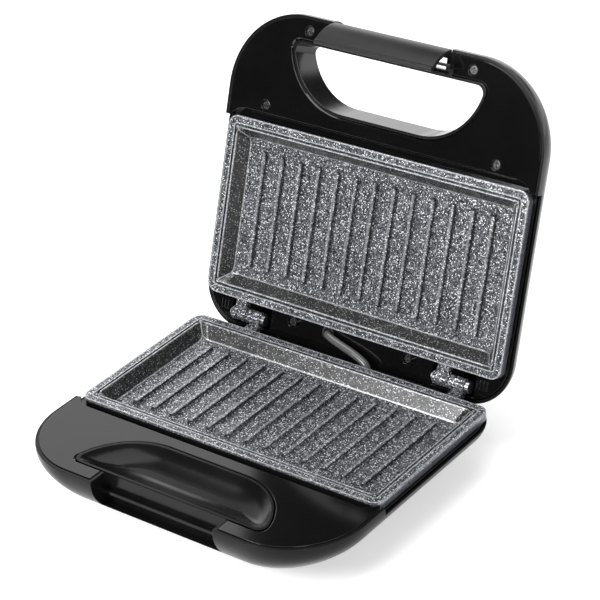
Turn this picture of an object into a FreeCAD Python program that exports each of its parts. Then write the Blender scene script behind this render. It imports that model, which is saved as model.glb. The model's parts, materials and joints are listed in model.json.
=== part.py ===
import FreeCAD, Part
import math
import os
import Sketcher

# Panini press: two hinged housings, each holding a ribbed, granite-coated grill plate.
#
# Both halves are drawn the same way up, in a half's own frame: the plate's rim lies near z = 0,
# the plate's middle is at x = y = 0, the handle side is -Y and the outer skin is towards -Z.
# The base then moves up onto its feet. The lid turns over, closes onto the base and swings
# open about the hinge axis, and it is stored in that open position. Lengths are millimetres.

DRIVING = {
    # whole object
    "rim_height": 36, "plate_shift": -11.36, "open_angle": 110, "rim_gap": 0.25,
    # grill plates
    "plate_width": 222, "plate_depth": 114.8, "plate_corner": 7, "plate_wall": 2.5,
    "flange": 3, "skirt_depth": 5.25, "crest_inset": 7.3, "crest_corner": 6,
    "floor_width": 196, "floor_depth": 88, "floor_corner": 5, "cavity_depth": 8.5,
    "tray_wall": 3, "tray_side": 5.6, "bead_inset": 5.4, "bead_width": 1.2, "bead_depth": 1,
    "rib_count": 13, "rib_pitch": 14.2, "rib_length": 76, "rib_width": 5.2,
    "rib_height": 2.3, "rib_taper": 25,
    # hinge
    "hinge_back": 66.7, "hinge_rise": 3, "hinge_spacing": 154, "knuckle_radius": 4.5,
    "knuckle_length": 11, "knuckle_gap": 0.5, "arm_width": 8.4, "pin_radius": 2,
    "pin_clearance": 0.05, "pin_head_radius": 3.7, "pin_head": 2.4, "clip_thick": 0.8,
    # housings, seen from above
    "base_half": 115, "base_front": 123, "base_rear": 65.4, "base_corner": 48,
    "base_rear_corner": 27, "lid_half": 115.3, "lid_front": 128, "lid_rear": 77,
    "lid_corner": 52, "lid_rear_corner": 29, "skin": 2.2, "edge_skin": 2, "seam": 0.4,
    "panel_drop": 1, "edge_drop": 1.5, "ledge_drop": 5.5, "zone_rear": 56.5,
    "well_front": 63, "bead_reach": 98, "well_gap": 1.6, "well_corner": 13, "opening_margin": 4.5,
    # hulls: how far each level of the outer skin lies below the rim, and how far it is inset
    "belt_level": 9, "base_mid_level": 17, "base_low_level": 25, "base_bottom": 31,
    "lid_mid_level": 18, "lid_low_level": 27, "lid_bottom": 34, "handle_thick": 18.5,
    "handle_root": 72, "handle_bend": 14, "handle_slope": 48,
    # handle opening, and the matching finger bowl in the base
    "grip_rear": 73.5, "grip_front": 111, "grip_arc": 41.5, "grip_flat": 28,
    "grip_corner": 5, "grip_chamfer": 0.8, "grip_draft": 2.6, "grip_rim": 1.6,
    "grip_rim_drop": 1.4, "bowl_front": 108.9, "bowl_depth": 7,
    # latch and its notch
    "notch_half": 45, "lid_notch_half": 43.2, "notch_back": 110.5, "notch_depth": 21,
    "catch_front": 113.6, "catch_top": 11.6, "catch_thick": 2.3, "latch_half": 42.5,
    "latch_radius": 28.4, "latch_wall": 2.2, "latch_centre_y": 99.6, "latch_centre_z": 5,
    "latch_top": 174, "latch_tip": 129, "latch_bead": 1.6, "rod_y": 117, "rod_z": 8.5, "rod_radius": 1,
    "ear_x": 20, "ear_thick": 3, "ear_radius": 2.8, "bar_front": 124.6, "bar_top": 12,
    "bar_bottom": 17.6, "spring_half": 4, "spring_radius": 2.3, "spring_bore": 1.5,
    "window_near": 24, "window_far": 34,
    # fixings
    "screw_radius": 1.5, "screw_hole": 1.6, "head_radius": 2.6, "head_height": 1.8,
    "well_radius": 3.3, "screw_well": 2.2, "boss_radius": 4, "pillar_radius": 2.7,
    "ring_x": 43.7, "ring_y": 62, "ring_rise": 2.4, "ring_well": 3, "ledge_screw_y": 60.3, "base_screw_x": 78,
    "base_screw_y": 70, "counterbore": 8, "grip_screw_x": 59.6,
    "grip_screw_y": 119, "side_screw_x": 84.9, "side_screw_y": 68, "post_radius": 4,
    "post_x": 60,
    # heating parts
    "element_radius": 3.25, "element_gap": 0.3, "element_leg": 26, "element_run": 78,
    "terminal_radius": 1.2, "terminal_length": 9, "reflector_x": 98, "reflector_y": 45,
    "reflector_top": 14, "reflector_bottom": 20.5, "reflector_sheet": 0.8,
    "strap_width": 12, "strap_thick": 1, "strap_leg": 50.6, "strap_foot": 56.5,
    "wire_radius": 1.2, "wire_hole": 2.2, "wire_turn_x": 90.5, "wire_drop": 24.6,
    "fuse_radius": 2, "fuse_length": 14, "block_front": 64, "block_rear": 54,
    "block_left": 22, "block_right": 10, "block_top": 19,
    # feet, lamps, leads
    "foot_radius": 8, "foot_height": 5, "foot_x": 66, "foot_front": 84, "foot_rear": 46,
    "stub_radius": 3, "stub_length": 3.4, "lens_radius": 3, "lens_x": 14, "lens_y": 34,
    "gland_radius": 5.5, "gland_bore": 3.6, "gland_x": 78, "gland_drop": 19,
    "gland_inside": 51.5, "gland_outside": 66, "gland_tip": 74, "gland_flange": 7.2,
    "lead_radius": 2.5, "lead_x": 20, "lead_y": 60.3, "lead_lid_x": 17, "lead_lid_y": 62,
    "lead_hole": 3.3, "grommet_radius": 3.7,
}


class Size:
    """A length, with the spreadsheet expression that it comes from."""

    def __init__(self, value, text):
        self.value = float(value)
        self.text = text

    def __add__(self, other):
        other = as_size(other)
        return Size(self.value + other.value, f"({self.text} + {other.text})")

    def __sub__(self, other):
        other = as_size(other)
        return Size(self.value - other.value, f"({self.text} - {other.text})")

    def __mul__(self, other):
        other = as_size(other)
        return Size(self.value * other.value, f"({self.text} * {other.text})")

    def __truediv__(self, other):
        other = as_size(other)
        return Size(self.value / other.value, f"({self.text} / {other.text})")

    def __neg__(self):
        return Size(-self.value, f"(0 - {self.text})")

    def __radd__(self, other):
        return as_size(other) + self

    def __rsub__(self, other):
        return as_size(other) - self

    def __rmul__(self, other):
        return as_size(other) * self


def as_size(number):
    return number if isinstance(number, Size) else Size(number, f"({number})")


doc = FreeCAD.newDocument("PaniniPress")
sheet = doc.addObject("Spreadsheet::Sheet", "Dimensions")
for row, (alias, number) in enumerate(DRIVING.items(), start=1):
    sheet.set(f"A{row}", alias)
    sheet.set(f"B{row}", str(number))
    sheet.setAlias(f"B{row}", alias)
doc.recompute()


class Sheet:
    """Reads a driving dimension as an attribute: d.plate_width."""

    def __getattr__(self, alias):
        return Size(sheet.get(alias), f"Dimensions.{alias}")


d = Sheet()
nodes = {}


# ---------------------------------------------------------------- small modelling helpers

def bind(item, prop, size):
    item.setExpression(prop, as_size(size).text)


def set_base(item, x, y, z):
    for letter, size in zip("xyz", (x, y, z)):
        bind(item, f"Placement.Base.{letter}", size)


def box(name, x_span, y_span, z_span):
    item = doc.addObject("Part::Box", name)
    for prop, span in zip(("Length", "Width", "Height"), (x_span, y_span, z_span)):
        bind(item, prop, as_size(span[1]) - span[0])
    set_base(item, x_span[0], y_span[0], z_span[0])
    return item


def rod(name, axis, radius, start, end, first, second):
    """A cylinder along X, Y or Z from start to end; first and second place its centre line."""
    item = doc.addObject("Part::Cylinder", name)
    bind(item, "Radius", radius)
    bind(item, "Height", as_size(end) - start)
    if axis == "x":
        item.Placement.Rotation = FreeCAD.Rotation(FreeCAD.Vector(0, 1, 0), 90)
        set_base(item, start, first, second)
    elif axis == "y":
        item.Placement.Rotation = FreeCAD.Rotation(FreeCAD.Vector(1, 0, 0), -90)
        set_base(item, first, start, second)
    else:
        set_base(item, first, second, start)
    return item


def fuse(name, items):
    item = doc.addObject("Part::MultiFuse", name)
    item.Shapes = items
    return item


def cut(name, base, tools):
    item = doc.addObject("Part::Cut", name)
    item.Base = base
    item.Tool = tools[0] if len(tools) == 1 else fuse(name + "_tools", tools)
    return item


def common(name, first, second):
    item = doc.addObject("Part::MultiCommon", name)
    item.Shapes = [first, second]
    return item


def group(name, items):
    """Identical loose pieces kept as separate solids of one node."""
    item = doc.addObject("Part::Compound", name)
    item.Links = items
    return item


def body(name):
    return doc.addObject("PartDesign::Body", name)


def sketch(owner, name, level, role="XY_Plane"):
    item = owner.newObject("Sketcher::SketchObject", name)
    plane = [feature for feature in owner.Origin.OriginFeatures if feature.Role == role][0]
    item.AttachmentSupport = [(plane, "")]
    item.MapMode = "FlatFace"
    bind(item, "AttachmentOffset.Base.z", level)
    return item


def dimension(item, name, kind, references, size):
    """Adds a driving constraint whose value is bound to the sheet."""
    size = as_size(size)
    number = item.addConstraint(Sketcher.Constraint(kind, *references, size.value))
    item.renameConstraint(number, name)
    item.setExpression("Constraints." + name, size.text)


def locate(item, name, kind, geometry, point, size):
    """Places a point at a signed distance from the sketch's origin along X or Y."""
    size = as_size(size)
    if size.value >= 0:
        dimension(item, name, kind, (-1, 1, geometry, point), size)
    else:
        dimension(item, name, kind, (geometry, point, -1, 1), -size)


def tangent_ring(item, pairs):
    for first, second in pairs:
        item.addConstraint(Sketcher.Constraint("Tangent", first, 2, second, 1))


def line(start, end):
    return Part.LineSegment(FreeCAD.Vector(*start, 0), FreeCAD.Vector(*end, 0))


def arc(centre, radius, start_angle, end_angle):
    circle = Part.Circle(FreeCAD.Vector(*centre, 0), FreeCAD.Vector(0, 0, 1), radius)
    return Part.ArcOfCircle(circle, math.radians(start_angle), math.radians(end_angle))


def rounded_outline(owner, name, level, half, front, rear, front_corner, rear_corner):
    """A rectangle with round corners, symmetric about the Y axis, drawn anticlockwise."""
    item = sketch(owner, name, level)
    half, front, rear = as_size(half), as_size(front), as_size(rear)
    front_corner, rear_corner = as_size(front_corner), as_size(rear_corner)
    w, y0, y1 = half.value, front.value, rear.value
    r0, r1 = front_corner.value, rear_corner.value
    item.addGeometry([
        line((-w + r0, y0), (w - r0, y0)),
        arc((w - r0, y0 + r0), r0, -90, 0),
        line((w, y0 + r0), (w, y1 - r1)),
        arc((w - r1, y1 - r1), r1, 0, 90),
        line((w - r1, y1), (-w + r1, y1)),
        arc((-w + r1, y1 - r1), r1, 90, 180),
        line((-w, y1 - r1), (-w, y0 + r0)),
        arc((-w + r0, y0 + r0), r0, 180, 270),
    ], False)
    tangent_ring(item, [(number, (number + 1) % 8) for number in range(8)])
    for number, kind in ((0, "Horizontal"), (2, "Vertical"), (4, "Horizontal"), (6, "Vertical")):
        item.addConstraint(Sketcher.Constraint(kind, number))
    locate(item, "right", "DistanceX", 2, 1, half)
    locate(item, "left", "DistanceX", 6, 1, -half)
    locate(item, "front", "DistanceY", 0, 1, front)
    locate(item, "rear", "DistanceY", 4, 1, rear)
    dimension(item, "front_right", "Radius", (1,), front_corner)
    dimension(item, "front_left", "Radius", (7,), front_corner)
    dimension(item, "rear_right", "Radius", (3,), rear_corner)
    dimension(item, "rear_left", "Radius", (5,), rear_corner)
    return item


def grip_outline(owner, name, level, grow, front_line):
    """The D of the handle opening and finger bowl: straight at the front, arched at the back.

    grow moves the whole outline outwards, and inwards where it is negative; front_line is how
    far in front of the plate's middle the straight side lies.
    """
    item = sketch(owner, name, level)
    big, small = d.grip_arc + grow, d.grip_corner + grow * 0.3
    front, rear, flat = -front_line - grow, -d.grip_rear + grow, d.grip_flat
    drop = (rear.value - big.value) - (front.value + small.value)
    reach = flat.value + math.sqrt((big.value - small.value) ** 2 - drop ** 2)
    turn = math.degrees(math.atan2(-drop, reach - flat.value))
    big_y, small_y = rear.value - big.value, front.value + small.value
    item.addGeometry([
        line((-reach, front.value), (reach, front.value)),
        arc((reach, small_y), small.value, -90, turn),
        arc((flat.value, big_y), big.value, turn, 90),
        line((flat.value, rear.value), (-flat.value, rear.value)),
        arc((-flat.value, big_y), big.value, 90, 180 - turn),
        arc((-reach, small_y), small.value, 180 - turn, 270),
    ], False)
    tangent_ring(item, [(number, (number + 1) % 6) for number in range(6)])
    item.addConstraint(Sketcher.Constraint("Horizontal", 0))
    item.addConstraint(Sketcher.Constraint("Horizontal", 3))
    locate(item, "front", "DistanceY", 0, 1, front)
    locate(item, "rear", "DistanceY", 3, 1, rear)
    locate(item, "flat_right", "DistanceX", 3, 1, flat)
    locate(item, "flat_left", "DistanceX", 3, 2, -flat)
    dimension(item, "arc_right", "Radius", (2,), big)
    dimension(item, "arc_left", "Radius", (4,), big)
    dimension(item, "corner_right", "Radius", (1,), small)
    dimension(item, "corner_left", "Radius", (5,), small)
    return item


def rectangle(owner, name, level, half, front, rear):
    """A plain rectangle, symmetric about the Y axis."""
    item = sketch(owner, name, level)
    half, front, rear = as_size(half), as_size(front), as_size(rear)
    w, y0, y1 = half.value, front.value, rear.value
    corners = [(-w, y0), (w, y0), (w, y1), (-w, y1)]
    item.addGeometry([line(corners[n], corners[(n + 1) % 4]) for n in range(4)], False)
    for number in range(4):
        item.addConstraint(Sketcher.Constraint("Coincident", number, 2, (number + 1) % 4, 1))
        kind = "Horizontal" if number % 2 == 0 else "Vertical"
        item.addConstraint(Sketcher.Constraint(kind, number))
    locate(item, "right", "DistanceX", 1, 1, half)
    locate(item, "left", "DistanceX", 3, 1, -half)
    locate(item, "front", "DistanceY", 0, 1, front)
    locate(item, "rear", "DistanceY", 2, 1, rear)
    return item


def extrude(owner, kind, name, profile, length, upwards):
    """A Pad or Pocket of a horizontal sketch, towards +Z or -Z."""
    item = owner.newObject("PartDesign::" + kind, name)
    item.Profile = profile
    bind(item, "Length", length)
    item.Reversed = upwards if kind == "Pocket" else not upwards
    profile.Visibility = False
    return item


def pad(owner, name, profile, length, upwards=True):
    return extrude(owner, "Pad", name, profile, length, upwards)


def pocket(owner, name, profile, length, upwards=False):
    return extrude(owner, "Pocket", name, profile, length, upwards)


def loft(owner, kind, name, profiles):
    item = owner.newObject("PartDesign::" + kind, name)
    item.Profile = profiles[0]
    item.Sections = profiles[1:]
    item.Ruled = False
    return item


# ---------------------------------------------------------------- grill plates

def grill_plate(name, rise):
    """A cast plate: rimmed tray with ribs, a skirt that stands on the housing, hinge arms.

    rise is how far the hinge axis lies above the rim, negative where it lies below.
    """
    plate = body(name + "_casting")
    half, front = d.plate_width / 2, -d.plate_depth / 2
    top = -d.rim_gap

    def ring(label, level, inset, corner):
        return rounded_outline(plate, name + label, level, half - inset, front + inset,
                               -front - inset, corner, corner)

    pad(plate, name + "_rim", ring("_outer", top, 0, d.plate_corner), d.skirt_depth,
        upwards=False)
    pocket(plate, name + "_skirt", ring("_skirt_hollow", top - d.skirt_depth, d.plate_wall,
                                        d.plate_corner - d.plate_wall),
           d.skirt_depth - d.flange, upwards=True)
    tray_inset = half - d.floor_width / 2 - d.tray_side
    tray_depth = d.cavity_depth + d.tray_wall
    pad(plate, name + "_tray", ring("_tray_outline", top - d.flange / 2, tray_inset,
                                    d.crest_corner), tray_depth - d.flange / 2,
        upwards=False)
    crest = ring("_crest", top, d.crest_inset, d.crest_corner)
    floor = rounded_outline(plate, name + "_floor", top - d.cavity_depth, d.floor_width / 2,
                            -d.floor_depth / 2, d.floor_depth / 2, d.floor_corner,
                            d.floor_corner)
    loft(plate, "SubtractiveLoft", name + "_cavity", [crest, floor])
    doc.recompute()
    outer_bead = ring("_bead_outer", top, d.bead_inset, d.crest_corner + 1)
    pocket(plate, name + "_bead_groove", outer_bead, d.bead_depth)
    inner = ring("_bead_inner", top - d.bead_depth, d.bead_inset + d.bead_width,
                 d.crest_corner)
    pad(plate, name + "_bead_crest", inner, d.bead_depth)
    crest_again = ring("_crest_again", top, d.crest_inset, d.crest_corner)
    loft(plate, "SubtractiveLoft", name + "_cavity_again", [crest_again, floor])
    rib = rib_sketch(plate, name + "_rib_outline", top - d.cavity_depth)
    first_rib = pad(plate, name + "_rib", rib, d.rib_height)
    bind(first_rib, "TaperAngle", -d.rib_taper)
    doc.recompute()
    ribs = plate.newObject("PartDesign::LinearPattern", name + "_ribs")
    ribs.Originals = [first_rib]
    ribs.Direction = (rib, ["H_Axis"])
    bind(ribs, "Length", d.rib_pitch * (d.rib_count - 1))
    bind(ribs, "Occurrences", d.rib_count)
    plate.Tip = ribs
    return hinge_arms(name, plate, rise)


def rib_sketch(owner, name, level):
    """The foot of the first rib: a slot that runs front to back at the plate's left end."""
    item = sketch(owner, name, level)
    centre = -d.rib_pitch * (d.rib_count - 1) / 2
    radius, straight = d.rib_width / 2, d.rib_length / 2 - d.rib_width / 2
    x, r, y = centre.value, radius.value, straight.value
    item.addGeometry([
        line((x + r, -y), (x + r, y)),
        arc((x, y), r, 0, 180),
        line((x - r, y), (x - r, -y)),
        arc((x, -y), r, 180, 360),
    ], False)
    tangent_ring(item, [(0, 1), (1, 2), (2, 3), (3, 0)])
    item.addConstraint(Sketcher.Constraint("Vertical", 0))
    locate(item, "centre_x", "DistanceX", 1, 3, centre)
    locate(item, "top", "DistanceY", 1, 3, straight)
    locate(item, "bottom", "DistanceY", 3, 3, -straight)
    dimension(item, "end", "Radius", (1,), radius)
    return item


def hinge_arms(name, plate, rise):
    """Adds the two knuckles, and the arms that carry them from the plate's rear wall."""
    rear = d.plate_depth / 2
    pieces, holes = [plate], []
    for number, side in enumerate((-1, 1)):
        middle = d.hinge_spacing / 2 * side
        start = middle + d.knuckle_gap / 2
        end = start + d.knuckle_length
        label = f"{name}_{number}"
        pieces.append(rod(label + "_knuckle", "x", d.knuckle_radius, start, end,
                          d.hinge_back, rise))
        arm_low = start + (d.knuckle_length - d.arm_width) / 2
        pieces.append(box(label + "_arm", (arm_low, arm_low + d.arm_width),
                          (rear - d.plate_wall, d.hinge_back - 1),
                          (-d.ledge_drop + 0.5, -d.rim_gap - 0.9)))
        if rise.value > 0:
            pieces.append(knuckle_web(label + "_web", arm_low))
        holes.append(rod(label + "_bore", "x", d.pin_radius + d.pin_clearance, start - 1,
                         end + 1, d.hinge_back, rise))
    for number, (x, y) in enumerate(post_places()):
        label = f"{name}_post_{number}"
        pieces.append(rod(label, "z", d.post_radius, -d.reflector_bottom + d.reflector_sheet,
                          -d.cavity_depth - d.rim_gap - 1, x, y))
        holes.append(rod(label + "_hole", "z", d.screw_hole, -d.reflector_bottom,
                         -d.cavity_depth - d.rim_gap - d.tray_wall, x, y))
    return cut(name, fuse(name + "_solid", pieces), holes)


def knuckle_web(name, start):
    """The sloping web that lifts a knuckle above the end of its arm."""
    web = doc.addObject("Part::Wedge", name)
    for prop, size in (("Xmin", 0), ("Xmax", d.arm_width), ("Ymin", 0), ("Ymax", 7.2),
                       ("Zmin", 0), ("Zmax", 7.5), ("X2min", 0), ("X2max", d.arm_width),
                       ("Z2min", 3.5), ("Z2max", 7.5)):
        bind(web, prop, size)
    set_base(web, start, d.hinge_back - 3.2, -d.ledge_drop + 0.5)
    return web


def post_places():
    """Two posts under each plate, on its long middle line, for the screws that hold it."""
    return [(d.post_x * side, as_size(0)) for side in (-1, 1)]


# ---------------------------------------------------------------- parts under each plate

def heating_element(name):
    """A tubular element bent into a U, with a terminal pin at each end."""
    level = -d.cavity_depth - d.rim_gap - d.tray_wall - d.element_gap - d.element_radius
    radius, leg, run = d.element_radius, d.element_leg, d.element_run
    legs = []
    for number, side in enumerate((-1, 1)):
        label = f"{name}_{number}"
        legs.append(rod(label + "_leg", "x", radius, -run, run - leg, leg * side, level))
        legs.append(rod(label + "_terminal", "x", d.terminal_radius,
                        -run - d.terminal_length, -run, leg * side, level))
    bend = doc.addObject("Part::Torus", name + "_bend")
    bind(bend, "Radius1", leg)
    bind(bend, "Radius2", radius)
    set_base(bend, run - leg, 0, level)
    half = box(name + "_bend_half", (run - leg, run + radius * 2),
               (-leg - radius * 2, leg + radius * 2), (level - radius * 2, level + radius * 2))
    legs.append(common(name + "_bend_cut", bend, half))
    return fuse(name, legs)


def reflector(name):
    """A sheet-metal tray under the element that throws the heat back to the plate."""
    sheet_metal, x, y = d.reflector_sheet, d.reflector_x, d.reflector_y
    outer = box(name + "_outer", (-x, x), (-y, y), (-d.reflector_bottom, -d.reflector_top))
    inner = box(name + "_inner", (-x + sheet_metal, x - sheet_metal),
                (-y + sheet_metal, y - sheet_metal),
                (-d.reflector_bottom + sheet_metal, -d.reflector_top + 1))
    holes = [rod(f"{name}_hole_{number}", "z", d.screw_hole, -d.reflector_bottom - 1,
                 -d.reflector_bottom + sheet_metal + 1, px, py)
             for number, (px, py) in enumerate(post_places())]
    holes += [rod(f"{name}_wire_hole_{number}", "z", d.wire_hole, -d.reflector_bottom - 1,
                  -d.reflector_bottom + sheet_metal + 1, -d.wire_turn_x, d.element_leg * side)
              for number, side in enumerate((-1, 1))]
    return cut(name, outer, [inner] + holes)


def straps(name):
    """Two bent straps that clamp plate and reflector up against the underside of the deck."""
    thick, leg, foot = d.strap_thick, d.strap_leg, d.strap_foot
    low, high = -d.reflector_bottom - thick, -d.ledge_drop - d.skin
    made = []
    for number, (x, y) in enumerate(post_places()):
        label = f"{name}_{number}"
        span = (x - d.strap_width / 2, x + d.strap_width / 2)
        pieces = [box(label + "_bar", span, (-leg - thick, leg + thick), (low, low + thick))]
        for side, near, far in ((-1, -foot, -leg), (1, leg, foot)):
            upright = (-leg - thick, -leg) if side < 0 else (leg, leg + thick)
            pieces.append(box(f"{label}_leg_{side + 1}", span, upright, (low, high)))
            pieces.append(box(f"{label}_foot_{side + 1}", span, (near, far),
                              (high - thick, high)))
        hole = rod(label + "_hole", "z", d.screw_hole, low - 1, low + thick + 1, x, y)
        made.append(cut(label, fuse(label + "_solid", pieces), [hole]))
    return group(name, made)


def strap_screws(name):
    """The screws that hold the straps to the posts under the plate."""
    top = -d.reflector_bottom - d.strap_thick - d.head_height
    return group(name, [screw(f"{name}_{number}", x, y, top, 7.5, upwards=False)
                        for number, (x, y) in enumerate(post_places())])


def element_wires(name, ends):
    """The two wires that drop from the element's terminals and run to their ends."""
    level = -d.cavity_depth - d.rim_gap - d.tray_wall - d.element_gap - d.element_radius
    start_x = (-d.element_run - d.terminal_length).value
    turn_x, y, z = -d.wire_turn_x.value, d.element_leg.value, level.value
    low = -d.wire_drop.value
    wires = []
    for number, (side, route) in enumerate(zip((-1, 1), ends)):
        points = [(start_x, y * side, z), (turn_x, y * side, z), (turn_x, y * side, low)]
        wires.append(smooth_tube(f"{name}_{number}", points + route, d.wire_radius.value))
    return group(name, wires)


def thermostat(name, x):
    """A snap-disc thermostat held against the underside of the plate, with two blades."""
    top = -d.cavity_depth - d.rim_gap - d.tray_wall
    case = rod(name + "_case", "z", 7, top - 5, top, x, 0)
    collar = rod(name + "_collar", "z", 8.4, top - 1.2, top, x, 0)
    blades = [box(f"{name}_blade_{number}", (x - 0.4, x + 0.4),
                  (as_size(low), as_size(low) + 4.6), (top - 6.6, top - 3.4))
              for number, low in enumerate((-11.0, 6.4))]
    return fuse(name, [case, collar] + blades)


def thermal_fuse():
    """A one-shot cutout laid against the lower plate, with a lead wire at each end."""
    centre_z = -d.cavity_depth - d.rim_gap - d.tray_wall - d.fuse_radius
    start = as_size(18)
    end = start + d.fuse_length
    case = rod("fuse_case", "x", d.fuse_radius, start, end, 0, centre_z)
    wires = rod("fuse_wires", "x", 0.5, start - 6, end + 6, 0, centre_z)
    return fuse("thermal_fuse", [case, wires])


def terminal_block():
    """A three-way screw terminal block that stands on the floor of the lower housing."""
    floor = -d.base_bottom + d.skin
    span = (-d.block_left, as_size(d.block_right))
    block = box("block_body", span, (-d.block_front, -d.block_rear), (floor, -d.block_top))
    middle = -(d.block_front + d.block_rear) / 2
    holes = [rod(f"block_screw_{number}", "z", 2, -d.block_top - 3, 0,
                 as_size(number * 10 - 16), middle) for number in range(3)]
    return cut("terminal_block", block, holes)


def cord_gland():
    """The bush in the rear wall that the mains cord would pass through."""
    x, z = -d.gland_x, -d.gland_drop
    inside, outside, tip = d.gland_inside, d.gland_outside, d.gland_tip
    barrel = rod("gland_barrel", "y", d.gland_radius, inside, outside, x, z)
    flange = rod("gland_flange_ring", "y", d.gland_flange, inside, inside + 2.5, x, z)
    nose = doc.addObject("Part::Cone", "gland_nose")
    bind(nose, "Radius1", d.gland_radius)
    bind(nose, "Radius2", d.gland_radius - 0.9)
    bind(nose, "Height", tip - outside)
    nose.Placement.Rotation = FreeCAD.Rotation(FreeCAD.Vector(1, 0, 0), -90)
    set_base(nose, x, outside, z)
    bore = rod("gland_bore_hole", "y", d.gland_bore, inside - 1, tip + 1, x, z)
    return cut("cord_gland", fuse("gland_solid", [barrel, flange, nose]), [bore])


def foot(name, x, y):
    """A rubber foot with a stub pushed up through the housing's floor."""
    floor = -d.base_bottom
    pad_part = rod(name + "_pad", "z", d.foot_radius, floor - d.foot_height, floor, x, y)
    stub = rod(name + "_stub", "z", d.stub_radius, floor - 1, floor + d.stub_length, x, y)
    return fuse(name, [pad_part, stub])


def hinge_pin(name, side):
    """A headed pin through one pair of knuckles, grooved near its plain end for a clip."""
    middle = d.hinge_spacing / 2 * side
    reach = d.knuckle_length + d.knuckle_gap / 2 + 0.3
    y, z = d.hinge_back, d.hinge_rise
    shank = rod(name + "_shank", "x", d.pin_radius, middle - reach - 2.2, middle + reach + 1,
                y, z)
    head = rod(name + "_head", "x", d.pin_head_radius, middle + reach,
               middle + reach + d.pin_head, y, z)
    groove_start = middle - reach - d.clip_thick - 0.1
    ring = rod(name + "_groove_ring", "x", d.pin_radius + 1, groove_start,
               groove_start + d.clip_thick + 0.1, y, z)
    core = rod(name + "_groove_core", "x", d.pin_radius - 0.4, groove_start - 1,
               groove_start + d.clip_thick + 1, y, z)
    groove = cut(name + "_groove", ring, [core])
    return cut(name, fuse(name + "_solid", [shank, head]), [groove])


def hinge_clips():
    """The snap rings that keep both pins in."""
    rings = []
    for number, side in enumerate((-1, 1)):
        middle = d.hinge_spacing / 2 * side
        end = middle - d.knuckle_length - d.knuckle_gap / 2 - 0.35
        label = f"hinge_clip_{number}"
        outer = rod(label + "_outer", "x", d.pin_radius + 1.4, end - d.clip_thick, end,
                    d.hinge_back, d.hinge_rise)
        bore = rod(label + "_bore", "x", d.pin_radius - 0.35, end - d.clip_thick - 1, end + 1,
                   d.hinge_back, d.hinge_rise)
        gap = box(label + "_gap", (end - d.clip_thick - 1, end + 1),
                  (d.hinge_back - 1, d.hinge_back + 1), (d.hinge_rise, d.hinge_rise + 6))
        rings.append(cut(label, outer, [bore, gap]))
    return group("hinge_clips", rings)


def screw(name, x, y, top, length, upwards=True):
    """A pan-head cross-recessed screw; top is the outer face of its head.

    upwards is True where the head looks towards +Z.
    """
    sign = 1 if upwards else -1
    under = top - d.head_height * sign
    tip = under - as_size(length) * sign
    low, high = (tip, under) if upwards else (under, tip)
    head_low, head_high = (under, top) if upwards else (top, under)
    shank = rod(name + "_shank", "z", d.screw_radius, low, high, x, y)
    head = rod(name + "_head", "z", d.head_radius, head_low, head_high, x, y)
    slot_low, slot_high = (top - 1, top + 1)
    slots = [box(name + "_slot_x", (x - 1.7, x + 1.7), (y - 0.35, y + 0.35),
                 (slot_low, slot_high)),
             box(name + "_slot_y", (x - 0.35, x + 0.35), (y - 1.7, y + 1.7),
                 (slot_low, slot_high))]
    return cut(name, fuse(name + "_blank", [shank, head]), slots)


# ---------------------------------------------------------------- housings

class Housing:
    """The plan of one housing: its outline, its corner radii, its latch notch and its D."""

    def __init__(self, outline, corners, notch, grip_front):
        self.half, self.front, self.rear = outline
        self.corner, self.rear_corner = corners
        self.notch, self.grip_front = notch, grip_front


BASE = Housing((d.base_half, d.base_front, d.base_rear), (d.base_corner, d.base_rear_corner),
               d.notch_half, d.bowl_front)
LID = Housing((d.lid_half, d.lid_front, d.lid_rear), (d.lid_corner, d.lid_rear_corner),
              d.lid_notch_half, d.grip_front)


def hull(name, plan, levels, shrink):
    """A smooth hull through inset outlines; levels hold (drop, side, front, rear insets)."""
    owner = body(name)
    outlines = []
    for number, (drop, side, front, rear) in enumerate(levels):
        side, front, rear = side + shrink, front + shrink, rear + shrink
        corner = plan.corner - (side + front) * 0.3
        rear_corner = plan.rear_corner - (side + rear) * 0.3
        outlines.append(rounded_outline(owner, f"{name}_level_{number}", -drop,
                                        plan.half - side, -plan.front + front,
                                        plan.rear - rear, corner, rear_corner))
    loft(owner, "AdditiveLoft", name + "_loft", outlines)
    return owner


def shell_of(name, plan, outer_levels, inner_levels):
    outer = hull(name + "_hull", plan, outer_levels, as_size(0))
    inner = hull(name + "_hollow", plan, inner_levels, d.skin)
    return outer, inner


def base_levels():
    zero = as_size(0)
    outer = [(d.edge_drop, zero, zero, zero), (d.belt_level, zero + 0.8, zero + 0.4, zero + 0.2),
             (d.base_mid_level, zero + 7.6, zero + 3.8, zero + 1.5),
             (d.base_low_level, zero + 17.5, zero + 11, zero + 3.5),
             (d.base_bottom, zero + 28, zero + 22, zero + 7)]
    inner = [(d.edge_drop, zero - 0.2, zero - 0.2, zero - 0.2),
             (d.belt_level, zero + 0.1, zero, zero - 0.1),
             (d.base_mid_level - 1.2, zero + 7.6, zero + 3.8, zero + 1.5),
             (d.base_low_level - 1.6, zero + 17.5, zero + 11, zero + 3.5),
             (d.base_bottom - d.skin, zero + 27, zero + 21, zero + 6.5)]
    return outer, inner


def lid_levels():
    zero = as_size(0)
    outer = [(d.edge_drop, zero, zero, zero), (d.belt_level, zero + 0.3, zero + 0.3, zero),
             (d.lid_mid_level, zero + 5.5, zero + 6, zero + 4.5),
             (d.lid_low_level, zero + 17, zero + 22, zero + 14),
             (d.lid_bottom, zero + 36, zero + 46, zero + 33)]
    inner = [(d.edge_drop, zero - 0.2, zero - 0.2, zero - 0.2),
             (d.belt_level, zero - 0.2, zero - 0.2, zero - 0.3),
             (d.lid_mid_level - 1.1, zero + 5.5, zero + 6, zero + 4.5),
             (d.lid_low_level - 1.7, zero + 17, zero + 22, zero + 14),
             (d.lid_bottom - d.skin, zero + 35, zero + 45, zero + 32)]
    return outer, inner


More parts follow.
